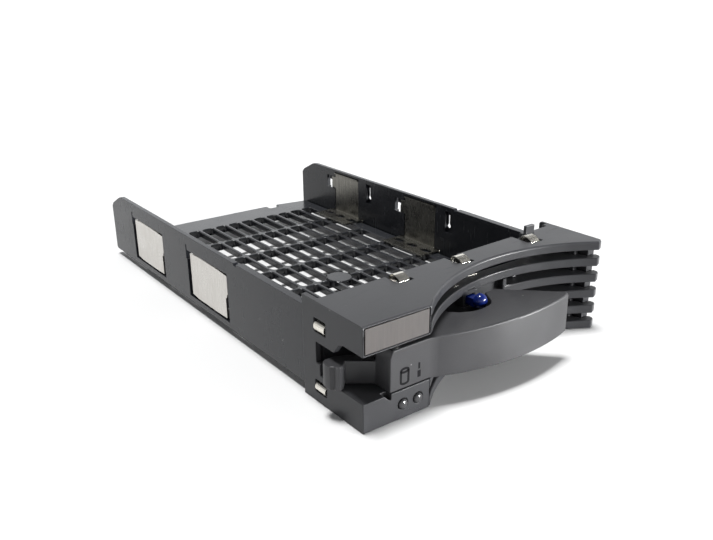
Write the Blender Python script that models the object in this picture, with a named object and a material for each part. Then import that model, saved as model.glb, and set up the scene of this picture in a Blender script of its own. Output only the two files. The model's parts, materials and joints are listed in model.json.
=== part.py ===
"""Hot-swap tray for a 3.5-inch hard disk drive: slotted floor, side rails with metal drive brackets,
louvred bezel, swinging lever with a claw, blue release button, spring clips and light pipes.

Lengths are in millimetres and become metres at the mesh. X runs across the tray, Y from the bezel's
front plane to the rear, Z up from the bezel's underside. ASSEMBLY_Y then moves the whole tray so that
the world origin lies on the bezel's underside."""

import math

import bmesh
import bpy
from mathutils import Matrix, Vector

MM = 0.001
GAP = 0.3
ASSEMBLY_Y = -25.0

# Bezel
BEZEL_LEFT, BEZEL_RIGHT = -55.0, 58.0
BEZEL_HEIGHT = 34.3
BEZEL_DEPTH = 31.0
BLOCK_RIGHT = -29.6
BLOCK_BACK = 27.0
LOWER_BLOCK_TOP = 9.8
UPPER_BLOCK_BOTTOM = 24.8
LEFT_CHEEK_INSIDE, RIGHT_CHEEK_INSIDE = -53.2, 54.6
CHEEK_START = 9.0
REAR_EDGE = ((-53.2, 24.9), (54.6, 28.9))

# Louvre: fins under the top plate, and the circle that their front edges follow
FIN_PITCH = 6.2
FIN_THICKNESS = 3.2
ARC_X, ARC_Y, ARC_RADIUS = 16.2, -51.0, 68.4
FIN_BACK = 22.0
GRILLE_LEFT = BLOCK_RIGHT + GAP
GRILLE_RIGHT = RIGHT_CHEEK_INSIDE - GAP
TIP_X, TIP_Y = 55.4, 5.9
PARTITION_LEFT = 19.6
POCKET_LEFT = -24.0
POCKET_WALL = 20.0
LIGHT_WALL = (23.6, 24.6)

# Lever
PIVOT_X, PIVOT_Y = -41.0, 3.6
PIN_RADIUS = 1.5
RUNNING_CLEARANCE = 0.1
LEVER_LOW, LEVER_HIGH = 10.2, 23.7
PLATE_LEFT, PLATE_RIGHT = -45.1, -29.6
PLATE_DEPTH = 7.2
ARM_HIGH = 18.0
RECESS_FLOOR = 14.5

# Release button and the catch that it drives
BUTTON_X, BUTTON_Z, BUTTON_RADIUS = 1.4, 23.8, 2.5
BUTTON_FRONT, BUTTON_BASE = 8.2, 11.4
STEM_LOW, STEM_HIGH = 21.4, 24.3
SLEEVE_FRONT = 15.0
CHAMFER = 0.5
CATCH_FRONT, CATCH_BACK = 22.6, 26.0
CATCH_LOW = 9.5
WEDGE_Y = 22.3
SPRING_X, SPRING_Y, SPRING_RADIUS, WIRE_RADIUS = 3.0, 24.5, 1.85, 0.25
SPRING_LOW, SPRING_HIGH, SPRING_TURNS = 3.6, 9.2, 5

# Tray
RAIL_INSIDE, RAIL_OUTSIDE = 52.0, 54.0
RAIL_LOW, RAIL_HIGH = 2.6, 30.0
TRAY_FRONT, TRAY_REAR = BEZEL_DEPTH + GAP, 195.6
FLOOR_LOW, FLOOR_HIGH = 4.9, 7.8
RIB_LOW, RIB_HIGH = 4.45, 5.2
SLOT_PITCH_X, SLOT_PITCH_Y = 7.2, 22.9
SLOT_WIDTH, SLOT_LENGTH, SLOT_CORNER = 5.6, 21.4, 1.5
SLOT_ROWS, SLOT_HALF_COLUMNS = 6, 6
LAST_ROW_Y = 169.2
PAD_RADIUS, PAD_Y = 5.5, 88.8
TAB_CENTRES = (-18.0, 14.0, 38.0)

# Drive brackets: two windows in each rail, front and rear
WINDOWS = {"front": (82.5, 115.6), "rear": (139.0, 171.0)}
WINDOW_LOW, WINDOW_HIGH = 4.9, 24.1
FOOT_LOW, FOOT_HIGH, FOOT_REACH = 8.2, 9.0, 41.5
INNER_HIGH = 28.6
INNER_RECESS = 53.25
SKIN = 0.6
DRIVE_HOLE_X = 47.6

# Spring clips on the top plate, contacts in the cheeks, light pipes
CLIP_CENTRES = {"left": -23.3, "middle": 3.5, "right": 38.0}
CLIP_WIDTH, STRIP = 4.1, 0.3
HUMP_X, HUMP_Y, HUMP_HIGH = (40.6, 45.2), (26.7, 28.0), 37.4
CONTACT_Y = (18.9, 24.3)
CONTACT_Z = {"upper": (24.5, 27.3), "lower": (3.8, 6.3)}
PIPES = {"activity": (-40.1, -50.5, 62.0), "status": (-34.2, -47.8, 68.0)}
PIPE_Z, PIPE_RADIUS, PIPE_END = 3.25, 0.9, 194.5
BEND_START = 34.0
LENS_Z, LENS_RADIUS = 4.95, 1.7
SHIELD_FRONT, SHIELD_BACK = 31.4, 32.2
SHIELD_SCREWS = {
    "left_lower": (-44, 12),
    "left_upper": (-44, 24),
    "right_lower": (44, 12),
    "right_upper": (44, 24),
}


def clear_scene():
    for obj in list(bpy.data.objects):
        bpy.data.objects.remove(obj, do_unlink=True)


def make_material(name, colour, roughness, metallic=0.0):
    material = bpy.data.materials.new(name)
    material.use_nodes = True
    shader = material.node_tree.nodes["Principled BSDF"]
    shader.inputs["Base Color"].default_value = (*colour, 1.0)
    shader.inputs["Roughness"].default_value = roughness
    shader.inputs["Metallic"].default_value = metallic
    material.diffuse_color = (*colour, 1.0)
    return material


def mesh_object(name, bm):
    """A new object from a bmesh in millimetres, its faces turned outwards."""
    bmesh.ops.recalc_face_normals(bm, faces=bm.faces)
    bmesh.ops.scale(bm, vec=Vector((MM, MM, MM)), verts=bm.verts)
    mesh = bpy.data.meshes.new(name)
    bm.to_mesh(mesh)
    bm.free()
    obj = bpy.data.objects.new(name, mesh)
    bpy.context.scene.collection.objects.link(obj)
    return obj


def place(axis, u, v, w):
    """The point at (u, v) in the plane across this axis, w along it."""
    return {"X": (w, u, v), "Y": (u, w, v), "Z": (u, v, w)}[axis]


def loft(name, axis, rings):
    """A closed solid through rings of equal length, each given as (outline, distance along the axis)."""
    bm = bmesh.new()
    loops = []
    for outline, w in rings:
        loops.append([bm.verts.new(place(axis, u, v, w)) for u, v in outline])
    for low, high in zip(loops, loops[1:]):
        for i in range(len(low)):
            j = (i + 1) % len(low)
            bm.faces.new((low[i], low[j], high[j], high[i]))
    bm.faces.new(reversed(loops[0]))
    bm.faces.new(loops[-1])
    return mesh_object(name, bm)


def prism(name, axis, outline, low, high):
    return loft(name, axis, [(outline, low), (outline, high)])


def box(name, x, y, z):
    outline = [(x[0], y[0]), (x[1], y[0]), (x[1], y[1]), (x[0], y[1])]
    return prism(name, "Z", outline, *z)


def circle(u, v, radius, sides=24):
    return [
        (u + radius * math.cos(math.tau * i / sides), v + radius * math.sin(math.tau * i / sides))
        for i in range(sides)
    ]


def cylinder(name, axis, centre, radius, low, high, sides=24):
    return prism(name, axis, circle(*centre, radius, sides), low, high)


def slot_outline(u, v, width, length, steps=5):
    """A slot with round ends, its length along v."""
    radius = width / 2
    reach = length / 2 - radius
    points = []
    for offset, start in ((reach, 0.0), (-reach, math.pi)):
        for i in range(steps + 1):
            turn = start + math.pi * i / steps
            points.append((u + radius * math.cos(turn), v + offset + radius * math.sin(turn)))
    return points


def rounded_outline(u, v, width, length, radius, steps=3):
    """A rectangle with rounded corners, its length along v."""
    points = []
    for quarter, (a, b) in enumerate(((1, 1), (-1, 1), (-1, -1), (1, -1))):
        centre = (u + a * (width / 2 - radius), v + b * (length / 2 - radius))
        for i in range(steps + 1):
            turn = math.pi / 2 * (quarter + i / steps)
            points.append((centre[0] + radius * math.cos(turn), centre[1] + radius * math.sin(turn)))
    return points


def bezier_strip(points, thickness):
    """The outline of a bent strip whose centre line runs through these points."""
    left, right = [], []
    for i, point in enumerate(points):
        before = Vector(points[max(i - 1, 0)])
        after = Vector(points[min(i + 1, len(points) - 1)])
        along = (after - before).normalized()
        side = Vector((-along.y, along.x)) * thickness / 2
        left.append(tuple(Vector(point) + side))
        right.append(tuple(Vector(point) - side))
    return left + right[::-1]


def combine(target, operation, tools):
    """Joins or cuts the tools with or from the target, and removes them."""
    for tool in tools:
        modifier = target.modifiers.new(operation.title(), "BOOLEAN")
        modifier.operation = operation
        modifier.solver = "EXACT"
        modifier.object = tool
    graph = bpy.context.evaluated_depsgraph_get()
    mesh = bpy.data.meshes.new_from_object(target.evaluated_get(graph))
    target.modifiers.clear()
    target.data = mesh
    for tool in tools:
        bpy.data.objects.remove(tool, do_unlink=True)
    return target


def join(target, *tools):
    return combine(target, "UNION", tools)


def cut(target, *tools):
    return combine(target, "DIFFERENCE", tools)


def mirrored(obj, name):
    """A copy of the object on the other side of the tray's centre plane."""
    bm = bmesh.new()
    bm.from_mesh(obj.data)
    bmesh.ops.transform(bm, matrix=Matrix.Scale(-1, 4, Vector((1, 0, 0))), verts=bm.verts)
    bmesh.ops.scale(bm, vec=Vector((1 / MM, 1 / MM, 1 / MM)), verts=bm.verts)
    return mesh_object(name, bm)


def finish(obj, material, parent, origin=(0.0, 0.0, 0.0)):
    """Gives the object its material and parent, and moves its origin to a point in millimetres."""
    point = Vector(origin) * MM
    obj.data.transform(Matrix.Translation(-point))
    obj.location = point
    obj.parent = parent
    obj.data.materials.clear()
    obj.data.materials.append(material)
    obj.data.shade_smooth()
    obj.data.set_sharp_from_angle(angle=math.radians(35))
    return obj


def louvre_y(x):
    """The Y of the concave front edge of the top plate and fins at this X."""
    return ARC_Y + math.sqrt(ARC_RADIUS**2 - (x - ARC_X) ** 2)


def louvre_edge(left, right, steps):
    across = [left + (right - left) * i / steps for i in range(steps + 1)]
    return [(x, louvre_y(x)) for x in across]


def arc_through(start, middle, end, steps):
    """Points on the circle through three points, from the first to the last."""
    (ax, ay), (bx, by), (cx, cy) = start, middle, end
    d = 2 * (ax * (by - cy) + bx * (cy - ay) + cx * (ay - by))
    a, b, c = ax * ax + ay * ay, bx * bx + by * by, cx * cx + cy * cy
    ux = (a * (by - cy) + b * (cy - ay) + c * (ay - by)) / d
    uy = (a * (cx - bx) + b * (ax - cx) + c * (bx - ax)) / d
    radius = math.hypot(ax - ux, ay - uy)
    first = math.atan2(ay - uy, ax - ux)
    sweep = (math.atan2(cy - uy, cx - ux) - first + math.pi) % math.tau - math.pi
    turns = [first + sweep * i / steps for i in range(steps + 1)]
    return [(ux + radius * math.cos(turn), uy + radius * math.sin(turn)) for turn in turns]


def fin_top(level):
    """The top of a fin: level 0 is the top plate."""
    return BEZEL_HEIGHT - FIN_PITCH * level


# Tray


def tray_floor():
    half_width = RAIL_INSIDE - GAP
    length = (TRAY_FRONT + GAP, TRAY_REAR)
    floor = box("tray_floor", (-half_width, half_width), length, (FLOOR_LOW, FLOOR_HIGH))
    tabs = [box("tab", (x - 5, x + 5), (22.5, 36), (3.8, 5.7)) for x in TAB_CENTRES]
    join(floor, *tabs)
    slots = bmesh.new()
    for row in range(SLOT_ROWS):
        y = LAST_ROW_Y - SLOT_PITCH_Y * row
        for column in range(-SLOT_HALF_COLUMNS, SLOT_HALF_COLUMNS + 1):
            outline = rounded_outline(SLOT_PITCH_X * column, y, SLOT_WIDTH, SLOT_LENGTH, SLOT_CORNER)
            low = [slots.verts.new((u, v, FLOOR_LOW - 1)) for u, v in outline]
            high = [slots.verts.new((u, v, FLOOR_HIGH + 1)) for u, v in outline]
            for i in range(len(outline)):
                j = (i + 1) % len(outline)
                slots.faces.new((low[i], low[j], high[j], high[i]))
            slots.faces.new(low[::-1])
            slots.faces.new(high)
    through = (FLOOR_LOW - 1, FLOOR_HIGH + 1)
    rear_outline = [(28.5, 191.5), (33.8, 191.5), (34.2, 195.4), (52.7, 192.5), (52.7, 200), (28.5, 200)]
    cut(floor, mesh_object("slots", slots), prism("rear_notch", "Z", rear_outline, *through))
    across = (4.2 - SLOT_PITCH_X * (SLOT_HALF_COLUMNS + 1), SLOT_PITCH_X * (SLOT_HALF_COLUMNS + 1) - 4.2)
    ribs = []
    for row in range(SLOT_ROWS):
        y = LAST_ROW_Y - SLOT_PITCH_Y * row
        ribs.append(box("rib", across, (y + 10.15, y + 12.75), (RIB_LOW, RIB_HIGH)))
    join(floor, *ribs)
    pad = cylinder("pad", "Z", (0, PAD_Y), PAD_RADIUS, FLOOR_LOW + 0.1, FLOOR_HIGH + 0.25, 32)
    join(floor, pad)
    holes = [cylinder("screw_hole", "Z", (x, 26), 1.4, 3, 6.5, 16) for x in TAB_CENTRES]
    return cut(floor, *holes)


def right_rail():
    outline = [
        (TRAY_FRONT, RAIL_LOW),
        (TRAY_REAR - 0.8, RAIL_LOW),
        (TRAY_REAR, RAIL_LOW + 0.8),
        (TRAY_REAR, 23.5),
        (TRAY_REAR - 1.6, 25.3),
        (TRAY_REAR - 10, RAIL_HIGH - 0.5),
        (TRAY_REAR - 12, RAIL_HIGH),
        (77, RAIL_HIGH),
        (76.4, RAIL_HIGH - 0.9),
        (75, RAIL_HIGH - 0.9),
        (75, RAIL_HIGH),
        (TRAY_FRONT, RAIL_HIGH),
    ]
    rail = prism("side_rail_right", "X", outline, RAIL_INSIDE, RAIL_OUTSIDE)
    lip_across = (RAIL_INSIDE - 0.9, RAIL_INSIDE + 0.5)
    lip = box("lip", lip_across, (36, 74.6), (RAIL_HIGH - 1.5, RAIL_HIGH))
    tongue = box("tongue", (RAIL_INSIDE, RAIL_OUTSIDE - 1.1), (27.3, 34), (6, 24))
    join(rail, lip, tongue)
    through = (RAIL_INSIDE - 1, RAIL_OUTSIDE + 1)
    outer = (RAIL_INSIDE + SKIN, RAIL_OUTSIDE + 1)
    inner = (RAIL_INSIDE - 1, RAIL_INSIDE + SKIN + 0.1)
    deep = (RAIL_INSIDE - 1, INNER_RECESS)
    cutters = []
    for front, rear in WINDOWS.values():
        cutters.append(box("window", outer, (front, rear), (WINDOW_LOW, WINDOW_HIGH)))
        cutters.append(box("foot_slot", inner, (front + 2.4, rear - 3.4), (WINDOW_LOW, FOOT_HIGH + 0.3)))
        cutters.append(box("leaf_opening", deep, (front + 5.9, rear - 6.1), (WINDOW_LOW, INNER_HIGH + 0.3)))
        cutters.append(box("ear_opening", deep, (rear - 6.5, rear + 0.5), (20.2, 26.6)))
        cutters.append(box("rear_slit", through, (rear - 0.1, rear + 0.7), (20.5, 26.2)))
    return cut(rail, *cutters)


def keyholes(rail):
    """Cuts the two keyhole slots that only the right rail shows, each just in front of a window."""
    through = (RAIL_INSIDE - 1, RAIL_OUTSIDE + 1)
    cutters = []
    for front, _ in WINDOWS.values():
        y = front - 1.6
        cutters.append(box("pocket", (RAIL_INSIDE - 1, 53.4), (front - 5.3, front - 0.4), (18.6, 28.0)))
        cutters.append(cylinder("keyhole", "X", (y, 21.2), 0.95, *through, 20))
        cutters.append(box("slit", through, (y - 0.45, y + 0.45), (21.3, 26.2)))
    return cut(rail, *cutters)


def right_bracket(name, span):
    """A stamped bracket: a leaf in a rail's window, and a foot with holes for the drive's screws."""
    front, rear = span[0] + 0.8, span[1] - 0.8
    low, high, middle = WINDOW_LOW + 0.8, WINDOW_HIGH - 0.7, 14.6
    leaf_outline = [
        (front + 1.8, low),
        (front + 9, low - 0.25),
        (rear - 6, low - 0.25),
        (rear - 1.4, low + 0.35),
        (rear - 1.4, high - 0.2),
        (rear - 10, high + 0.2),
        (front + 7, high),
        (front, high - 0.4),
        (front, middle + 0.9),
        (front + 0.8, middle + 0.6),
        (front + 0.8, middle - 0.4),
        (front + 1.8, middle - 0.9),
    ]
    leaf = prism(name, "X", leaf_outline, RAIL_OUTSIDE - 1.1, RAIL_OUTSIDE - 0.3)
    foot_across = (FOOT_REACH, RAIL_OUTSIDE - 0.7)
    foot = box("foot", foot_across, (front + 2.0, rear - 3.0), (FOOT_LOW, FOOT_HIGH))
    boss_y, boss_z = (front + rear) / 2 + 0.6, 15.6
    boss_span = (boss_y - 7.5, boss_y + 7.5)
    emboss_across = (RAIL_OUTSIDE - 1.6, RAIL_OUTSIDE - 0.9)
    emboss = box("emboss", emboss_across, boss_span, (boss_z - 4.5, boss_z + 4.5))
    plate_outline = [
        (front + 5.4, FOOT_LOW),
        (rear - 5.6, FOOT_LOW),
        (rear - 5.6, 20.5),
        (rear - 2.6, 21.0),
        (rear - 2.6, 26.2),
        (rear - 5.6, 26.3),
        (rear - 5.6, INNER_HIGH),
        (front + 5.4, INNER_HIGH),
    ]
    plate = prism("plate", "X", plate_outline, RAIL_INSIDE + 0.15, RAIL_INSIDE + 0.95)
    fold_along = (front + 5.4, rear - 5.6)
    fold = box("fold", (RAIL_INSIDE - 0.6, RAIL_INSIDE + 0.5), fold_along, (INNER_HIGH - 0.7, INNER_HIGH))
    join(leaf, foot, emboss, plate, fold)
    holes = []
    for i in (-1, 0, 1):
        outline = slot_outline(DRIVE_HOLE_X, (front + rear - 1.5) / 2 + 9.3 * i, 3.4, 6.4, 4)
        holes.append(prism("hole", "Z", outline, FOOT_LOW - 1, FOOT_HIGH + 1))
    return cut(leaf, *holes)


# Bezel


def top_plate_outline(back=0.0):
    """The top plate seen from above, its front edge moved back by this much."""
    return [
        (BEZEL_LEFT, back),
        *[(x, y + back) for x, y in louvre_edge(BLOCK_RIGHT, TIP_X, 22)],
        (BEZEL_RIGHT - 0.5, TIP_Y + back),
        (BEZEL_RIGHT, TIP_Y + 0.5 + back),
        (BEZEL_RIGHT, BEZEL_DEPTH),
        (RIGHT_CHEEK_INSIDE, BEZEL_DEPTH),
        REAR_EDGE[1],
        REAR_EDGE[0],
        (LEFT_CHEEK_INSIDE, BEZEL_DEPTH),
        (BEZEL_LEFT, BEZEL_DEPTH),
    ]


def bezel_housing():
    """The moulded front: left block in two storeys, top plate, cheeks and the shield's bars."""
    levels = (BEZEL_HEIGHT - FIN_THICKNESS, BEZEL_HEIGHT - CHAMFER, BEZEL_HEIGHT)
    rings = [(top_plate_outline(back), z) for back, z in zip((0.0, 0.0, CHAMFER), levels)]
    housing = loft("bezel_housing", "Z", rings)
    block = (BEZEL_LEFT, BLOCK_RIGHT)
    left_cheek = (BEZEL_LEFT, LEFT_CHEEK_INSIDE)
    right_cheek = (RIGHT_CHEEK_INSIDE, BEZEL_RIGHT)
    cheek_height = (0, BEZEL_HEIGHT - 1)
    flange_outline = [
        (25, 3),
        (33, 3),
        (34.5, 5),
        (34.5, BEZEL_HEIGHT - 0.6),
        (33.8, BEZEL_HEIGHT),
        (25, BEZEL_HEIGHT),
    ]
    join(
        housing,
        box("upper_block", block, (0, 24.6), (UPPER_BLOCK_BOTTOM, BEZEL_HEIGHT - 2.5)),
        box("lower_block", block, (0, BLOCK_BACK), (0, LOWER_BLOCK_TOP)),
        box("block_back", (-51, BLOCK_RIGHT), (BLOCK_BACK - 1.6, BEZEL_DEPTH), (0, 28.5)),
        box("block_root", (-51, BLOCK_RIGHT), (22.6, BLOCK_BACK), (28.0, BEZEL_HEIGHT - 2.5)),
        box("left_cheek", left_cheek, (0, BEZEL_DEPTH), cheek_height),
        box("right_cheek", right_cheek, (CHEEK_START, BEZEL_DEPTH), cheek_height),
        prism("flange", "X", flange_outline, BEZEL_RIGHT - 1.1, BEZEL_RIGHT),
        box("bar", (41, 47), (BLOCK_BACK, BEZEL_DEPTH), (7, BEZEL_HEIGHT - 2.6)),
        box("bar_root", (41, 47), (BLOCK_BACK, BLOCK_BACK + 1.0), (7, BEZEL_HEIGHT - 1.6)),
        box("boss", (42.4, 47.0), (BLOCK_BACK, 31.4), (28.3, 33.4)),
        box("hump", HUMP_X, HUMP_Y, (BEZEL_HEIGHT - 2, HUMP_HIGH)),
    )

    claw_outline = [
        (-1, LOWER_BLOCK_TOP),
        (21.8, LOWER_BLOCK_TOP),
        (21.8, 13.6),
        (23.8, 13.6),
        (23.8, 20.8),
        (14.2, 20.8),
        (11.6, 24.0),
        (9.5, UPPER_BLOCK_BOTTOM),
        (-1, UPPER_BLOCK_BOTTOM),
    ]
    relief_outline = [(-47.4, 10), (-45.3, 7.9), (-44.6, 7.9), (-44.6, 10)]
    label_across = (BEZEL_LEFT + 0.5, BLOCK_RIGHT - 0.5)
    label_height = (UPPER_BLOCK_BOTTOM + 0.5, BEZEL_HEIGHT - 0.5)
    pin_bore = PIN_RADIUS + RUNNING_CLEARANCE
    cutters = [
        prism("claw_opening", "X", claw_outline, BEZEL_LEFT - 1, LEFT_CHEEK_INSIDE + 0.01),
        prism("relief", "Y", relief_outline, -1, 2.4),
        box("label_recess", label_across, (-1, 0.8), label_height),
        cylinder("pin_hole", "Z", (PIVOT_X, PIVOT_Y), pin_bore, 7.1, 30.2, 32),
    ]
    contact_span = (CONTACT_Y[0] - 0.4, CONTACT_Y[1] + 0.4)
    for low, high in CONTACT_Z.values():
        for x in ((BEZEL_LEFT - 1, -51.6), (54.0, BEZEL_RIGHT + 1)):
            cutters.append(box("contact_slot", x, contact_span, (low - 0.4, high + 1.4)))
    above = BEZEL_HEIGHT + 1
    for x in CLIP_CENTRES.values():
        cutters.append(box("clip_notch", (x - 3.3, x + 2.4), (20.4, 29), (above - 5.3, above)))
        cutters.append(box("clip_slot", (x - 2.35, x + 3.0), (18.9, 20.6), (above - 5, above)))
    for x, _, _ in PIPES.values():
        bore = PIPE_RADIUS + GAP
        cutters.append(cylinder("pipe_bore", "Y", (x, PIPE_Z), bore, 0.7, BEZEL_DEPTH + 1, 16))
        cutters.append(cylinder("lens_bore", "Y", (x, LENS_Z), LENS_RADIUS + 0.25, -1, 2.4, 20))
    for x, z in SHIELD_SCREWS.values():
        cutters.append(cylinder("screw_hole", "Y", (x, z), 1.5, 27.6, BEZEL_DEPTH + 1, 16))
    return cut(housing, *cutters)


def fin(left, level, back):
    """One fin of the louvre, from this X to its free right tip."""
    outline = [
        *louvre_edge(left, TIP_X, 22 if left < 0 else 10),
        (BEZEL_RIGHT - 0.5, TIP_Y),
        (BEZEL_RIGHT, TIP_Y + 0.5),
        (BEZEL_RIGHT, CHEEK_START - GAP),
        (GRILLE_RIGHT, CHEEK_START - GAP),
        (GRILLE_RIGHT, CHEEK_START + 2),
        (GRILLE_RIGHT - 0.7, CHEEK_START + 2),
        (GRILLE_RIGHT - 0.7, back),
        (left, back),
    ]
    top = fin_top(level)
    return prism("fin", "Z", outline, max(top - FIN_THICKNESS, 0.0), top)


def louvre_grille():
    """The fins under the top plate, the ribs that carry them and the back wall of the lever's pocket."""
    grille = fin(GRILLE_LEFT, 1, FIN_BACK)
    grille.name = "louvre_grille"
    pocket_end = PARTITION_LEFT + 1.8
    full_height = (0.2, 27)
    guide = ((POCKET_WALL + 0.5, CATCH_BACK), (17.6, 25.5))
    join(
        grille,
        fin(PARTITION_LEFT, 2, FIN_BACK),
        fin(PARTITION_LEFT, 3, FIN_BACK),
        fin(GRILLE_LEFT, 4, FIN_BACK),
        fin(GRILLE_LEFT, 5, BEZEL_DEPTH - 0.5),
        box("end_rib", (51.4, 53.6), (12.5, FIN_BACK), (0.2, 30.8)),
        box("partition", (PARTITION_LEFT, pocket_end), (louvre_y(PARTITION_LEFT), 26), full_height),
        *[box("rib", (x, x + 1.5), (FIN_BACK - 0.6, 25), full_height) for x in (29.0, 45.0)],
        box("pocket_wall", (POCKET_LEFT, PARTITION_LEFT + 0.5), (POCKET_WALL, FIN_BACK), (1, 26)),
        box("wall_end", (GRILLE_LEFT, -26), (9.0, FIN_BACK), (1, 8)),
        *[box("guide", (x, x + 1.4), *guide) for x in (-3.8, 8.6)],
        box("sleeve", (BUTTON_X - 3.2, BUTTON_X + 3.2), (SLEEVE_FRONT, POCKET_WALL + 0.5), (20.2, 26.0)),
        box("light_wall", (GRILLE_LEFT + 0.5, GRILLE_RIGHT - 0.3), LIGHT_WALL, (24.9, 30.8)),
    )
    through = (POCKET_WALL - 1, FIN_BACK + 1)
    cutters = [
        box("tongue_window", (8.4, 17.4), through, (11.4, 17.3)),
        box("stem_hole", (BUTTON_X - 2, BUTTON_X + 2), (11, FIN_BACK + 1), (STEM_LOW - 0.4, STEM_HIGH + 0.4)),
    ]
    for x in CLIP_CENTRES.values():
        cutters.append(box("strip_slot", (x - 2.35, x + 2.35), (23, 25.3), (30.1, 32)))
    for x in TAB_CENTRES:
        cutters.append(cylinder("screw_hole", "Z", (x, 26), 1.4, -1, 4, 16))
        cutters.append(cylinder("head_recess", "Z", (x, 26), 2.6, -1, 2.1, 24))
    return cut(grille, *cutters)


# Lever


def handle_outline(middle, end, tip):
    """The handle seen from above: an arc for its front, and a back that follows the pocket."""
    left = PLATE_RIGHT - 0.6
    return [
        *arc_through((left, 0.0), middle, end, 18),
        tip,
        (13.6, 14.4),
        (12.9, 14.9),
        (8.4, 14.9),
        (-12.5, 12.0),
        (-16.0, 11.0),
        (-20.0, 8.8),
        (-24.0, 7.6),
        (left, PLATE_DEPTH),
    ]


def claw():
    outline = [
        (-40.0, 3.0),
        (PLATE_LEFT + 0.3, 6.9),
        (-52.3, 12.5),
        (-54.4, 10.4),
        (-55.9, 9.9),
        (-57.0, 10.6),
        (-57.0, 11.4),
        (-58.0, 12.2),
        (-58.2, 14.0),
        (-58.0, 15.7),
        (-57.3, 16.6),
        (-56.2, 17.0),
        (-53.4, 16.9),
        (-50.0, 15.7),
        (-42.0, 9.8),
        (-36.0, 6.5),
    ]
    return prism("claw", "Z", outline, LEVER_LOW, ARM_HIGH)


def lever_handle():
    """Handle, symbol plate, arm and claw in one moulding that turns on the pivot pin."""
    bottom = handle_outline((4.5, -7.4), (28.7, -3.9), (29.4, -2.8))
    upper = handle_outline((4.5, -5.85), (29.8, -3.0), (30.4, -1.9))
    top = handle_outline((4.5, -5.3), (29.5, -2.4), (30.0, -1.4))
    rings = [(bottom, LEVER_LOW), (upper, LEVER_HIGH - CHAMFER), (top, LEVER_HIGH)]
    handle = loft("lever_handle", "Z", rings)
    plate_outline = [
        (PLATE_LEFT, LEVER_LOW),
        (PLATE_RIGHT, LEVER_LOW),
        (PLATE_RIGHT, LEVER_HIGH),
        (PLATE_LEFT + 1.1, LEVER_HIGH),
        (PLATE_LEFT, 21.3),
    ]
    tongue_outline = [(13.0, 12.6), (27.2, 12.2), (27.2, 16.2), (26.4, 17.0), (13.0, 17.0)]
    join(
        handle,
        prism("plate", "Y", plate_outline, 0.0, PLATE_DEPTH),
        claw(),
        prism("tongue", "X", tongue_outline, 9.2, 12.8),
    )

    recess_outline = [
        (9.0, 18.0),
        (7.9, 14.4),
        (4.9, 8.9),
        *arc_through((3.4, 7.3), (-1.8, 5.9), (-7.0, 6.7), 5),
        (-10.2, 8.3),
        (-12.6, 10.6),
        (-14.5, 18.0),
    ]
    hollow_outline = [
        (10.2, 12.8),
        (12.6, 12.6),
        (25.8, -0.6),
        *arc_through((23.0, -2.6), (4.5, -4.0), (-14.0, -2.0), 8),
        (-14.0, 4.4),
        (4.0, 4.2),
        (9.4, 6.2),
    ]
    pin_bore = PIN_RADIUS + RUNNING_CLEARANCE
    through = (LEVER_LOW - 1, LEVER_HIGH + 1)
    return cut(
        handle,
        prism("recess", "Z", recess_outline, RECESS_FLOOR, LEVER_HIGH + 1),
        prism("hollow", "Z", hollow_outline, LEVER_LOW - 1, LEVER_HIGH - 2.2),
        cylinder("bore", "Z", (PIVOT_X, PIVOT_Y), pin_bore, *through, 32),
        box("hook_notch", (9, 13), (22.3, 26.2), (11, 13.4)),
    )


# Release button, catch and spring


def release_button():
    rings = [(circle(BUTTON_X, BUTTON_Z, BUTTON_RADIUS, 28), BUTTON_BASE)]
    for a in (0, 0.35, 0.7, 1.05, 1.3):
        outline = circle(BUTTON_X, BUTTON_Z, BUTTON_RADIUS * math.cos(a), 28)
        rings.append((outline, BUTTON_FRONT + 2.0 - 2.0 * math.sin(a)))
    button = loft("release_button", "Y", rings)
    wedge = WEDGE_Y + STEM_HIGH - STEM_LOW
    stem_outline = [
        (BUTTON_BASE - 1, STEM_LOW),
        (WEDGE_Y, STEM_LOW),
        (wedge, STEM_HIGH),
        (BUTTON_BASE - 1, STEM_HIGH),
    ]
    stem = prism("stem", "X", stem_outline, BUTTON_X - 1.6, BUTTON_X + 1.6)
    return join(button, stem)


def latch_catch():
    """A slider that the stem's wedge pushes down. Its foot is the tooth that holds the lever's hook."""
    ramp_start, top = STEM_LOW - 0.42, 23.6
    body_outline = [
        (CATCH_FRONT, CATCH_LOW),
        (CATCH_BACK, CATCH_LOW),
        (CATCH_BACK, top),
        (WEDGE_Y + top - ramp_start, top),
        (CATCH_FRONT, ramp_start + CATCH_FRONT - WEDGE_Y),
    ]
    tooth_outline = [
        (CATCH_FRONT, CATCH_LOW),
        (CATCH_BACK, CATCH_LOW),
        (CATCH_BACK, 11.2),
        (CATCH_BACK - 0.6, 11.8),
        (CATCH_FRONT + 1.2, 11.8),
        (CATCH_FRONT, 10.8),
    ]
    body = prism("latch_catch", "X", body_outline, -2.1, 8.2)
    return join(body, prism("tooth", "X", tooth_outline, 8.0, 13.4))


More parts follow.
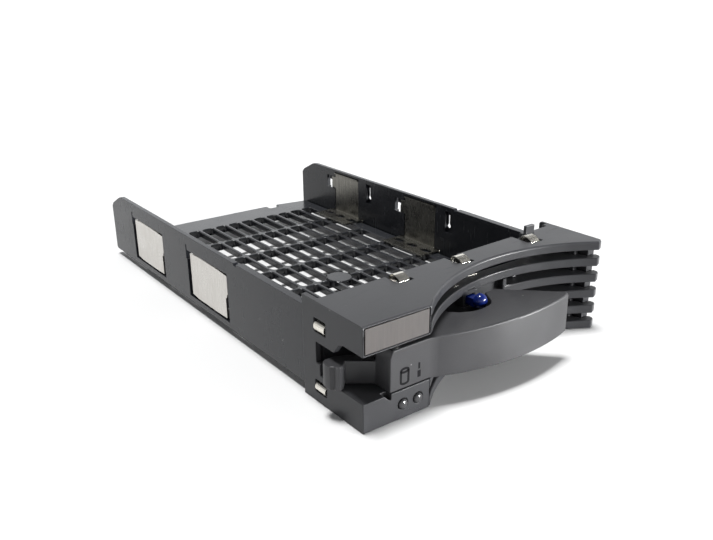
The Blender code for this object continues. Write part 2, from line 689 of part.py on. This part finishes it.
def catch_spring():
    """A round-wire coil, its ring of wire swept along a helix."""
    sides, steps = 6, 14 * SPRING_TURNS
    rise = SPRING_HIGH - SPRING_LOW - 2 * WIRE_RADIUS
    bm = bmesh.new()
    rings = []
    for i in range(steps + 1):
        angle = math.tau * SPRING_TURNS * i / steps
        outward = Vector((math.cos(angle), math.sin(angle), 0))
        centre = Vector((SPRING_X, SPRING_Y, SPRING_LOW + WIRE_RADIUS + rise * i / steps))
        centre += SPRING_RADIUS * outward
        ring = []
        for u, v in circle(0, 0, WIRE_RADIUS, sides):
            ring.append(bm.verts.new(centre + u * outward + Vector((0, 0, v))))
        rings.append(ring)
    for low, high in zip(rings, rings[1:]):
        for k in range(sides):
            j = (k + 1) % sides
            bm.faces.new((low[k], low[j], high[j], high[k]))
    bm.faces.new(rings[0][::-1])
    bm.faces.new(rings[-1])
    return mesh_object("catch_spring", bm)


# Metalwork


def emi_shield():
    """A perforated sheet that closes the front of the drive bay."""
    sheet = (SHIELD_FRONT, SHIELD_BACK)
    through = (SHIELD_FRONT - 1, SHIELD_BACK + 1)
    cutters = []
    for column in range(9):
        x = -34.0 + 8.5 * column
        for row in range(4):
            z = 11.6 + 4.3 * row
            cutters.append(box("vent", (x - 2.9, x + 2.9), through, (z - 1.3, z + 1.3)))
    for centre in SHIELD_SCREWS.values():
        cutters.append(cylinder("screw_hole", "Y", centre, 1.5, *through, 16))
    return cut(box("emi_shield", (-51.1, 51.1), sheet, (8.3, 27.6)), *cutters)


def screw(name, axis, centre, head, tip, head_radius, shank_radius):
    """A pan-head screw with a cross recess, from its head's face to its tip along the axis."""
    way = 1 if tip > head else -1
    under = head + 1.4 * way
    body = cylinder(name, axis, centre, head_radius, *sorted((head, under)), sides=20)
    shank = sorted((under - 0.3 * way, tip))
    join(body, cylinder("shank", axis, centre, shank_radius, *shank, sides=12))
    u, v = centre
    recess = sorted((head - way, head + 0.7 * way))
    arms = []
    for a, b in ((1.5, 0.3), (0.3, 1.5)):
        outline = [(u - a, v - b), (u + a, v - b), (u + a, v + b), (u - a, v + b)]
        arms.append(prism("arm", axis, outline, *recess))
    return cut(body, *arms)


def top_clip(name, centre):
    """A strip that lies under the top plate, rises through its notch and curls forward over it."""
    line = [
        (16.5, 30.6),
        (22.0, 30.6),
        (24.9, 30.6),
        (25.4, 31.1),
        (25.4, 33.4),
        (25.2, 34.4),
        (24.6, 35.1),
        (23.7, 35.5),
        (22.6, 35.5),
        (21.6, 35.2),
        (20.6, 34.7),
        (19.9, 34.0),
        (19.6, 33.2),
        (19.8, 32.5),
        (20.4, 32.1),
    ]
    across = (centre - CLIP_WIDTH / 2, centre + CLIP_WIDTH / 2)
    return prism(name, "X", bezier_strip(line, STRIP), *across)


def side_contact(name, side, span):
    """A strip that bulges out through its slot in the cheek."""
    low, high = span
    face = -BEZEL_LEFT if side < 0 else BEZEL_RIGHT
    line = [(face - 2.6, low + 0.1)]
    for i in range(9):
        a = math.pi * i / 8
        height = (low + high) / 2 - (high - low) / 2 * math.cos(a)
        line.append((face - 0.8 + math.sin(a), height))
    line += [(face - 1.3, high - 0.15), (face - 1.7, high - 0.6), (face - 1.9, high - 1.2)]
    outline = [(side * u, v) for u, v in bezier_strip(line, STRIP)]
    return prism(name, "Y", outline, *CONTACT_Y)


def light_pipe(name, start, end, bend_end):
    """A clear rod from its domed lens, back through the block, then along the rail under the floor."""
    points = [Vector((start, y)) for y in (1.0, 20.0, BEND_START)]
    for i in range(1, 12):
        t = i / 12
        across = start + (end - start) * t * t * (3 - 2 * t)
        points.append(Vector((across, BEND_START + (bend_end - BEND_START) * t)))
    points += [Vector((end, y)) for y in (bend_end, 120.0, PIPE_END)]
    section = circle(0, 0, PIPE_RADIUS, 10)
    rings = []
    for i, point in enumerate(points):
        along = (points[min(i + 1, len(points) - 1)] - points[max(i - 1, 0)]).normalized()
        stretch = 1 / max(along.y, 0.5)
        rings.append(([(point.x + stretch * u, PIPE_Z + v) for u, v in section], point.y))
    pipe = loft(name, "Y", rings)
    dome = [(circle(start, LENS_Z, LENS_RADIUS, 20), 2.0)]
    for a in (0, 0.4, 0.8, 1.2, 1.45):
        dome.append((circle(start, LENS_Z, LENS_RADIUS * math.cos(a), 20), -0.9 * math.sin(a)))
    return join(pipe, loft("lens", "Y", dome))


def label_plate():
    across = (BEZEL_LEFT + 0.8, BLOCK_RIGHT - 0.8)
    height = (UPPER_BLOCK_BOTTOM + 0.8, BEZEL_HEIGHT - 0.8)
    return box("label_plate", across, (0.0, 0.5), height)


def pivot_pin():
    return cylinder("pivot_pin", "Z", (PIVOT_X, PIVOT_Y), PIN_RADIUS, 7.3, 30.0, 32)


def main():
    clear_scene()
    charcoal = make_material("moulded_charcoal", (0.035, 0.037, 0.042), 0.42)
    bezel_black = make_material("bezel_charcoal", (0.040, 0.041, 0.044), 0.45)
    lever_grey = make_material("lever_charcoal", (0.050, 0.051, 0.054), 0.45)
    label_grey = make_material("label_grey", (0.16, 0.14, 0.13), 0.6)
    release_blue = make_material("release_blue", (0.02, 0.09, 0.45), 0.35)
    plated = make_material("plated_steel", (0.78, 0.77, 0.73), 0.35, 1.0)
    nickel = make_material("spring_nickel", (0.70, 0.67, 0.60), 0.3, 1.0)
    steel = make_material("screw_steel", (0.45, 0.45, 0.46), 0.35, 1.0)
    smoke = make_material("smoked_lens", (0.10, 0.10, 0.11), 0.2)

    assembly = bpy.data.objects.new("assembly", None)
    bpy.context.scene.collection.objects.link(assembly)
    assembly.location = (0.0, ASSEMBLY_Y * MM, 0.0)

    finish(tray_floor(), charcoal, assembly)
    rail = right_rail()
    finish(mirrored(rail, "side_rail_left"), charcoal, assembly)
    finish(keyholes(rail), charcoal, assembly)
    for place_name, span in WINDOWS.items():
        bracket = right_bracket(f"drive_bracket_{place_name}_right", span)
        finish(mirrored(bracket, f"drive_bracket_{place_name}_left"), plated, assembly)
        finish(bracket, plated, assembly)

    finish(bezel_housing(), bezel_black, assembly)
    finish(louvre_grille(), bezel_black, assembly)
    finish(label_plate(), label_grey, assembly)
    finish(emi_shield(), plated, assembly)
    for side_name, (x, z) in SHIELD_SCREWS.items():
        fixing = screw(f"shield_screw_{side_name}", "Y", (x, z), 33.9, 28.2, 2.3, 1.2)
        finish(fixing, steel, assembly)
    for side_name, x in zip(("left", "middle", "right"), TAB_CENTRES):
        fixing = screw(f"bezel_screw_{side_name}", "Z", (x, 26.0), 0.4, 5.2, 2.2, 1.1)
        finish(fixing, steel, assembly)
    for side_name, x in CLIP_CENTRES.items():
        finish(top_clip(f"top_clip_{side_name}", x), nickel, assembly)
    for level, span in CONTACT_Z.items():
        finish(side_contact(f"side_contact_left_{level}", -1, span), nickel, assembly)
        finish(side_contact(f"side_contact_right_{level}", 1, span), nickel, assembly)
    for use, (start, end, bend_end) in PIPES.items():
        finish(light_pipe(f"light_pipe_{use}", start, end, bend_end), smoke, assembly)

    finish(pivot_pin(), steel, assembly, (PIVOT_X, PIVOT_Y, 0))
    finish(lever_handle(), lever_grey, assembly, (PIVOT_X, PIVOT_Y, 0))
    finish(release_button(), release_blue, assembly, (BUTTON_X, BUTTON_BASE, BUTTON_Z))
    finish(latch_catch(), lever_grey, assembly, (3.0, CATCH_FRONT, CATCH_LOW))
    finish(catch_spring(), steel, assembly, (SPRING_X, SPRING_Y, SPRING_LOW))


main()
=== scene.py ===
import json
import math

import bmesh
import bpy
from mathutils import Matrix, Vector


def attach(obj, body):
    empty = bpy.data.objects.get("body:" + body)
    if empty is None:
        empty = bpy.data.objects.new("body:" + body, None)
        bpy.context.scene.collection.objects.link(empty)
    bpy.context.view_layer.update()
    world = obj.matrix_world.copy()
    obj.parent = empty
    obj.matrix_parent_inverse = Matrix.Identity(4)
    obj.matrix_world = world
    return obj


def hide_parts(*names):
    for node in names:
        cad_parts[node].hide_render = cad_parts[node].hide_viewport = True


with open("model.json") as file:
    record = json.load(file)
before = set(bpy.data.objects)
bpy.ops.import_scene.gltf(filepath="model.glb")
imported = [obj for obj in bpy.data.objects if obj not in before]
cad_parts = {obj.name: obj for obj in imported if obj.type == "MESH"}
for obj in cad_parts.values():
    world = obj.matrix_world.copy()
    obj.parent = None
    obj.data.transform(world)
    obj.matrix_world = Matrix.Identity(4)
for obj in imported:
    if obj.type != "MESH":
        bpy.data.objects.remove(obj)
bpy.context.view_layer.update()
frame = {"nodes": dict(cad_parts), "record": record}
nodes = frame["nodes"]
scene = bpy.context.scene
MM = 0.001

# Camera, fitted to the tray's corners: angles in degrees, place in metres
CAMERA_ANGLES = (36.565, 21.281, -0.455)
CAMERA_PLACE = (-0.17094, -0.17865, 0.12636)
CAMERA_LENS, CAMERA_SENSOR = 39.176, 36.0
CAMERA_CLIP = (0.005, 60.0)

# Studio: brightness by height, then across from left to right
SKY = ((0, 1.0), (0.30, 0.95), (0.42, 0.60), (0.64, 0.14), (1, 0.08))
SKY_TINT = (0.97, 0.985, 1.0)
SKY_SIDES = (-0.55, 0.15, 0.60, 1.0)
SKY_STRENGTH = 1.4
RANGE_SOCKETS = ("From Min", "From Max", "To Min", "To Max")
FLOOR_REACH, FLOOR_DROP = 12.0, 0.00005
FLOOR_SHADE, FLOOR_ROUGHNESS = 0.62, 0.7

# Pieces, in millimetres: the lever's front plate, and the symbols printed on it
FRONT_Y = -25.0
SYMBOL_HEIGHT, SYMBOL_SINK, SYMBOL_LINE = 0.06, 0.03, 0.75
WELD = 2e-6
FLAT_ANGLE, EDGE_ANGLE, EDGE_SEGMENTS = 1.0, 40.0, 2
EDGE_WIDTHS = {
    "bezel_housing": 0.25,
    "louvre_grille": 0.35,
    "lever_handle": 0.30,
    "side_rail_left": 0.12,
    "side_rail_right": 0.12,
    "tray_floor": 0.45,
    "drive_bracket_front_left": 0.12,
    "drive_bracket_front_right": 0.12,
    "drive_bracket_rear_left": 0.12,
    "drive_bracket_rear_right": 0.12,
    "emi_shield": 0.10,
    "label_plate": 0.10,
    "latch_catch": 0.2,
    "release_button": 0.2,
}
SLOT_OF = {part["node"]: part["material_slot"] for part in frame["record"]["subparts"]}
BODY_OF = {
    name: body for body, names in frame["record"]["behaviour"]["bodies"].items() for name in names
}


# Camera, light and floor


def make_camera():
    azimuth, elevation, roll = map(math.radians, CAMERA_ANGLES)
    forward = Vector(
        (
            math.sin(azimuth) * math.cos(elevation),
            math.cos(azimuth) * math.cos(elevation),
            -math.sin(elevation),
        )
    )
    right = Vector((math.cos(azimuth), -math.sin(azimuth), 0.0))
    up = right.cross(forward)
    right, up = (
        right * math.cos(roll) + up * math.sin(roll),
        up * math.cos(roll) - right * math.sin(roll),
    )
    camera = bpy.data.objects.new("camera", bpy.data.cameras.new("camera"))
    scene.collection.objects.link(camera)
    turned = Matrix((right, up, -forward)).transposed()
    camera.matrix_world = Matrix.Translation(CAMERA_PLACE) @ turned.to_4x4()
    camera.data.lens = CAMERA_LENS
    camera.data.sensor_width = CAMERA_SENSOR
    camera.data.clip_start, camera.data.clip_end = CAMERA_CLIP
    scene.camera = camera


def sun_light(name, travel, strength, angle):
    light = bpy.data.lights.new(name, "SUN")
    light.energy = strength
    light.angle = math.radians(angle)
    lamp = bpy.data.objects.new(name, light)
    scene.collection.objects.link(lamp)
    lamp.rotation_euler = Vector(travel).to_track_quat("-Z", "Y").to_euler()


def make_world():
    """A studio that is bright along the horizon, dim overhead and a little dimmer on the left."""
    world = bpy.data.worlds.new("studio")
    scene.world = world
    world.use_nodes = True
    tree = world.node_tree
    background = tree.nodes["Background"]
    place = tree.nodes.new("ShaderNodeTexCoord")
    split = tree.nodes.new("ShaderNodeSeparateXYZ")
    ramp = tree.nodes.new("ShaderNodeValToRGB")
    tree.links.new(place.outputs["Generated"], split.inputs[0])
    tree.links.new(split.outputs["Z"], ramp.inputs["Fac"])
    stops = ramp.color_ramp.elements
    stops[0].position, stops[1].position = 0.0, 1.0
    for height, level in SKY:
        stop = stops[0] if height == 0 else stops[-1] if height == 1 else stops.new(height)
        stop.color = (*[level * tint for tint in SKY_TINT], 1.0)
    side = tree.nodes.new("ShaderNodeMapRange")
    side.interpolation_type = "SMOOTHSTEP"
    for socket, number in zip(RANGE_SOCKETS, SKY_SIDES):
        side.inputs[socket].default_value = number
    shade = tree.nodes.new("ShaderNodeVectorMath")
    shade.operation = "SCALE"
    tree.links.new(split.outputs["X"], side.inputs["Value"])
    tree.links.new(ramp.outputs["Color"], shade.inputs[0])
    tree.links.new(side.outputs["Result"], shade.inputs["Scale"])
    tree.links.new(shade.outputs[0], background.inputs["Color"])
    background.inputs["Strength"].default_value = SKY_STRENGTH


def make_stage():
    mesh = bpy.data.meshes.new("floor")
    corners = [(x * FLOOR_REACH, y * FLOOR_REACH, 0) for x, y in ((-1, -1), (1, -1), (1, 1), (-1, 1))]
    mesh.from_pydata(corners, [], [(0, 1, 2, 3)])
    floor = bpy.data.objects.new("floor", mesh)
    scene.collection.objects.link(floor)
    floor.location = (0, 0, -FLOOR_DROP)
    material = bpy.data.materials.new("floor")
    material.use_nodes = True
    shader = material.node_tree.nodes["Principled BSDF"]
    shader.inputs["Base Color"].default_value = (FLOOR_SHADE, FLOOR_SHADE, FLOOR_SHADE, 1)
    shader.inputs["Roughness"].default_value = FLOOR_ROUGHNESS
    mesh.materials.append(material)

    make_world()
    sun_light("overhead", (0.03, -0.10, -1.0), 4.4, 14)
    sun_light("front_fill", (-0.64, 0.76, 0.06), 19.0, 30)
    scene.view_settings.view_transform = "Standard"


# Materials


DUST = (0.3, 0.3, 0.29, 1)
STAIN = (0.7, 0.66, 0.6)
ROLLED = {"X": (0.04, 1, 1), "Y": (1, 0.04, 1), "Z": (1, 1, 0.04)}
# Top of the brackets' foot, in metres above the part's origin. Above it the right brackets' steel
# gets painted shade, blended in over FADE.
FOOT_TOP, FADE = 0.0091, 0.0006


class Tree:
    """A short way to write a material's nodes."""

    def __init__(self, name):
        self.material = bpy.data.materials.new(name)
        self.material.use_nodes = True
        self.tree = self.material.node_tree
        self.shader = self.tree.nodes["Principled BSDF"]
        self.place = self.node("ShaderNodeTexCoord").outputs["Object"]

    def node(self, kind, **settings):
        made = self.tree.nodes.new(kind)
        for key, value in settings.items():
            setattr(made, key, value)
        return made

    def wire(self, value, socket):
        if isinstance(value, bpy.types.NodeSocket):
            self.tree.links.new(value, socket)
        else:
            socket.default_value = value

    def math(self, operation, a, b):
        made = self.node("ShaderNodeMath", operation=operation)
        self.wire(a, made.inputs[0])
        self.wire(b, made.inputs[1])
        return made.outputs[0]

    def times(self, a, b):
        return self.math("MULTIPLY", a, b)

    def plus(self, a, b):
        return self.math("ADD", a, b)

    def height(self):
        """Height above the part's origin, in metres."""
        made = self.node("ShaderNodeSeparateXYZ")
        self.wire(self.place, made.inputs[0])
        return made.outputs["Z"]

    def noise(self, scale, detail=2.0, roughness=0.5, stretch=None):
        made = self.node("ShaderNodeTexNoise")
        made.inputs["Scale"].default_value = scale
        made.inputs["Detail"].default_value = detail
        made.inputs["Roughness"].default_value = roughness
        self.wire(self.stretched(stretch), made.inputs["Vector"])
        return made.outputs["Fac"]

    def stretched(self, stretch):
        if stretch is None:
            return self.place
        made = self.node("ShaderNodeMapping")
        made.inputs["Scale"].default_value = stretch
        self.wire(self.place, made.inputs["Vector"])
        return made.outputs["Vector"]

    def cells(self, scale):
        made = self.node("ShaderNodeTexVoronoi", feature="F1")
        made.inputs["Scale"].default_value = scale
        self.wire(self.place, made.inputs["Vector"])
        return made.outputs["Distance"]

    def ramp(self, value, low, high, start=0.0, end=1.0):
        """Value from low to high becomes start to end, held at both ends."""
        made = self.node("ShaderNodeMapRange")
        self.wire(value, made.inputs["Value"])
        for socket, number in zip(RANGE_SOCKETS, (low, high, start, end)):
            made.inputs[socket].default_value = number
        return made.outputs["Result"]

    def mix(self, factor, a, b):
        """Colour a where factor is 0 and colour b where it is 1."""
        made = self.node("ShaderNodeMix", data_type="RGBA")
        self.wire(factor, made.inputs["Factor"])
        self.wire(a, made.inputs[6])
        self.wire(b, made.inputs[7])
        return made.outputs[2]

    def edge(self, radius):
        """1 along the edges of the shape, 0 on its faces."""
        bevel = self.node("ShaderNodeBevel", samples=6)
        bevel.inputs["Radius"].default_value = radius
        true = self.node("ShaderNodeNewGeometry").outputs["Normal"]
        dot = self.node("ShaderNodeVectorMath", operation="DOT_PRODUCT")
        self.wire(bevel.outputs["Normal"], dot.inputs[0])
        self.wire(true, dot.inputs[1])
        return self.ramp(dot.outputs["Value"], 0.99, 0.80)

    def bump(self, height, distance, strength):
        made = self.node("ShaderNodeBump")
        made.inputs["Strength"].default_value = strength
        made.inputs["Distance"].default_value = distance
        self.wire(height, made.inputs["Height"])
        return made.outputs["Normal"]

    def finish(self, colour, roughness, normal, **fixed):
        self.wire(colour, self.shader.inputs["Base Color"])
        self.wire(roughness, self.shader.inputs["Roughness"])
        self.wire(normal, self.shader.inputs["Normal"])
        for key, value in fixed.items():
            socket = key.replace("_", " ").title().replace("Ior", "IOR")
            self.shader.inputs[socket].default_value = value
        return self.material


def rgb(colour, gain=1.0):
    """The colour made brighter or darker, with its alpha."""
    return (*[min(1.0, c * gain) for c in colour], 1.0)


def plastic(name, colour, roughness, grain=1.0, wear=0.5, specks=0.5, specular=0.35):
    """Moulded plastic: fine spark-eroded grain, flow clouds, rubbed edges, faint scuffs and dust."""
    t = Tree(name)
    clouds = t.noise(55.0, 3.0, 0.6)
    grain_cells = t.cells(2600.0)
    grain_noise = t.noise(4200.0, 2.0, 0.6)
    base = t.mix(t.ramp(clouds, 0.35, 0.7), rgb(colour, 0.86), rgb(colour, 1.14))
    base = t.mix(t.ramp(grain_noise, 0.3, 0.75, 0.0, 0.35), base, rgb(colour, 1.5))
    worn = t.times(t.edge(0.0004), t.ramp(t.noise(320.0, 3.0, 0.65), 0.42, 0.72))
    base = t.mix(t.times(worn, wear), base, rgb(colour, 3.2))
    speck = t.ramp(t.cells(210.0), 0.075, 0.045)
    rare = t.ramp(t.noise(90.0, 1.0), 0.58, 0.66)
    base = t.mix(t.times(t.times(speck, rare), specks), base, DUST)
    scuff = t.ramp(t.noise(700.0, 2.0, 0.6, (0.15, 1.0, 0.15)), 0.62, 0.78)
    cloudy = t.ramp(clouds, 0.3, 0.7, roughness - 0.05, roughness + 0.05)
    rough = t.plus(cloudy, t.times(scuff, 0.10))
    height = t.plus(t.times(grain_cells, 0.6), t.times(grain_noise, 0.5))
    bumps = t.bump(height, 0.00003, 0.35 * grain)
    return t.finish(base, rough, bumps, specular_ior_level=specular)


def sheet_metal(name, colour, roughness, along, streak=0.3, tarnish=0.25, painted_shade_above=None):
    """Plated sheet: rolling streaks along one axis and soft stains, and painted shade that makes it
    darker above a given height.
    """
    t = Tree(name)
    lines = t.noise(2600.0, 3.0, 0.7, ROLLED[along])
    stains = t.noise(140.0, 4.0, 0.6)
    stained = [part * fade for part, fade in zip(colour, STAIN)]
    base = t.mix(t.ramp(stains, 0.45, 0.75, 0.0, tarnish), rgb(colour), rgb(stained))
    base = t.mix(t.ramp(lines, 0.35, 0.7, 0.0, streak), base, rgb(colour, 0.75))
    # Painted shade: above the given height the sheet is made darker, standing in for shade inside the
    # tray. Below it the foot keeps the lit colour.
    if painted_shade_above is not None:
        painted_shade = t.mix(t.ramp(lines, 0.35, 0.7), rgb(colour, 0.62), rgb(colour, 0.40))
        base = t.mix(t.ramp(t.height(), painted_shade_above, painted_shade_above + FADE), base, painted_shade)
    uneven = t.plus(t.times(lines, 0.6), t.times(stains, 0.4))
    rough = t.ramp(uneven, 0.3, 0.7, roughness - 0.1, roughness + 0.12)
    return t.finish(base, rough, t.bump(lines, 0.00002, 0.3), metallic=1.0)


def lens_plastic(name):
    """Smoked clear plastic with a faint haze."""
    t = Tree(name)
    haze = t.noise(900.0, 2.0, 0.5)
    base = t.mix(t.ramp(haze, 0.3, 0.7), (0.020, 0.020, 0.022, 1), (0.034, 0.034, 0.036, 1))
    rough = t.ramp(haze, 0.3, 0.7, 0.10, 0.2)
    return t.finish(base, rough, t.bump(haze, 0.00002, 0.2), coat_weight=0.2)


def label_card(name):
    """Blank warm grey card with upright fibres."""
    t = Tree(name)
    fibre = t.noise(1500.0, 3.0, 0.7, (1.0, 1.0, 0.06))
    mottle = t.noise(160.0, 3.0, 0.6)
    base = t.mix(t.ramp(fibre, 0.3, 0.75), (0.036, 0.031, 0.029, 1), (0.052, 0.045, 0.042, 1))
    base = t.mix(t.ramp(mottle, 0.45, 0.75, 0.0, 0.35), base, (0.063, 0.053, 0.048, 1))
    return t.finish(base, t.ramp(mottle, 0.3, 0.7, 0.5, 0.62), t.bump(fibre, 0.00002, 0.3))


MATERIALS = {
    "tray_plastic": plastic("tray_plastic", (0.0125, 0.0135, 0.0165), 0.25, specular=0.3),
    "bezel_plastic": plastic("bezel_plastic", (0.034, 0.0345, 0.037), 0.33, specular=0.2),
    "lever_plastic": plastic("lever_plastic", (0.0275, 0.0275, 0.0295), 0.40, wear=0.8),
    "label_face": label_card("label_face"),
    "button_plastic": plastic("button_plastic", (0.003, 0.010, 0.085), 0.22, 0.3, 0.1, 0.2, 0.4),
    "plated_steel": sheet_metal("plated_steel", (0.62, 0.60, 0.565), 0.30, "Z"),
    "spring_steel": sheet_metal("spring_steel", (0.80, 0.77, 0.70), 0.22, "Y", 0.2),
    "screw_steel": sheet_metal("screw_steel", (0.55, 0.55, 0.56), 0.3, "X", 0.2),
    "lens_plastic": lens_plastic("lens_plastic"),
}
# A darker copy of the plated steel for the right brackets: painted shade, because they stand in the
# tray's shade. It is darker still above the foot.
STEEL_IN_PAINTED_SHADE = sheet_metal("steel_in_painted_shade", (0.30, 0.29, 0.26), 0.26, "Z", 0.3, painted_shade_above=FOOT_TOP)
FLOOR_PLASTIC = plastic("floor_plastic", (0.018, 0.019, 0.022), 0.22, 1.0, 0.5, 0.5, 0.5)
SYMBOL_INK = plastic("symbol_ink", (0.004, 0.004, 0.005), 0.6, 0.6, 0.1, 0.1, 0.1)
# Finishes that replace a slot's material: floor plastic for the floor, and steel with painted shade
# for the right brackets.
FINISH_OF = {
    "tray_floor": FLOOR_PLASTIC,
    "drive_bracket_front_right": STEEL_IN_PAINTED_SHADE,
    "drive_bracket_rear_right": STEEL_IN_PAINTED_SHADE,
}


# Pieces


def forget_normals(mesh):
    """Drops stored corner normals, which a changed mesh would carry over wrongly."""
    stored = mesh.attributes.get("custom_normal")
    if stored is not None:
        mesh.attributes.remove(stored)


def refined(name, width):
    """A copy of a CAD node with its edges rounded, which stands for the node."""
    mesh = nodes[name].data.copy()
    bm = bmesh.new()
    bm.from_mesh(mesh)
    bmesh.ops.remove_doubles(bm, verts=bm.verts, dist=WELD)
    flat = math.radians(FLAT_ANGLE)
    bmesh.ops.dissolve_limit(bm, angle_limit=flat, verts=bm.verts, edges=bm.edges)
    bmesh.ops.triangulate(bm, faces=bm.faces[:])
    bm.to_mesh(mesh)
    bm.free()
    forget_normals(mesh)
    mesh.shade_smooth()
    mesh.set_sharp_from_angle(angle=math.radians(180))
    piece = bpy.data.objects.new(f"{name}_moulded", mesh)
    scene.collection.objects.link(piece)
    bevel = piece.modifiers.new("edges", "BEVEL")
    bevel.width = width
    bevel.segments = EDGE_SEGMENTS
    bevel.limit_method = "ANGLE"
    bevel.angle_limit = math.radians(EDGE_ANGLE)
    bevel.use_clamp_overlap = False
    bevel.miter_outer = "MITER_ARC"
    bevel.harden_normals = True
    weighted = piece.modifiers.new("normals", "WEIGHTED_NORMAL")
    weighted.keep_sharp = True
    graph = bpy.context.evaluated_depsgraph_get()
    final = bpy.data.meshes.new_from_object(piece.evaluated_get(graph))
    piece.modifiers.clear()
    piece.data = final
    slot = SLOT_OF[name]
    final.materials.clear()
    final.materials.append(FINISH_OF.get(name, MATERIALS[slot]))
    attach(piece, BODY_OF[name])
    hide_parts(name)


def stroke(bm, points, width):
    """Adds a closed ribbon that runs through points on the symbol plate, in millimetres."""
    ring = []
    for i, (x, z) in enumerate(points):
        x0, z0 = points[max(i - 1, 0)]
        x1, z1 = points[min(i + 1, len(points) - 1)]
        along = Vector((x1 - x0, z1 - z0)).normalized()
        side = Vector((-along.y, along.x)) * width / 2
        corners = []
        for y in (-SYMBOL_HEIGHT, SYMBOL_SINK):
            for way in (1, -1):
                place = Vector((x + way * side.x, y + FRONT_Y, z + way * side.y))
                corners.append(bm.verts.new(place * MM))
        ring.append((corners[0], corners[1], corners[3], corners[2]))
    for low, high in zip(ring, ring[1:]):
        for k in range(4):
            m = (k + 1) % 4
            bm.faces.new((low[k], low[m], high[m], high[k]))
    bm.faces.new(ring[0][::-1])
    bm.faces.new(ring[-1])


def ellipse(x, z, a, b, start, end, steps):
    """Points along an ellipse from one angle to another, in degrees."""
    turns = [math.radians(start + (end - start) * i / steps) for i in range(steps + 1)]
    return [(x + a * math.cos(turn), z + b * math.sin(turn)) for turn in turns]


def symbol(name, strokes):
    """A piece made of ribbons, each with its points and width, which rides on the lever."""
    bm = bmesh.new()
    for points, width in strokes:
        stroke(bm, points, width)
    bmesh.ops.recalc_face_normals(bm, faces=bm.faces)
    mesh = bpy.data.meshes.new(name)
    bm.to_mesh(mesh)
    bm.free()
    mesh.materials.append(SYMBOL_INK)
    piece = bpy.data.objects.new(name, mesh)
    scene.collection.objects.link(piece)
    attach(piece, "lever")


def symbols():
    """Generic drive and activity symbols, printed thickly on the lever's front plate."""
    x, half, squash = -39.6, 1.45, 0.62
    low, high = 12.3, 16.1
    drive = [
        (ellipse(x, high, half, squash, 0, 360, 24), SYMBOL_LINE),
        (ellipse(x, low, half, squash, 180, 360, 14), SYMBOL_LINE),
        ([(x - half, low), (x - half, high)], SYMBOL_LINE),
        ([(x + half, low), (x + half, high)], SYMBOL_LINE),
    ]
    symbol("drive_symbol", drive)
    bar = -34.0
    activity = [([(bar, 14.9), (bar, 16.9)], 0.7), ([(bar, 12.1), (bar, 14.3)], 1.2)]
    symbol("activity_symbol", activity)


make_camera()
make_stage()
for name, obj in nodes.items():
    obj.data.materials.clear()
    obj.data.materials.append(MATERIALS[SLOT_OF[name]])
for name, width in EDGE_WIDTHS.items():
    refined(name, width * MM)
symbols()
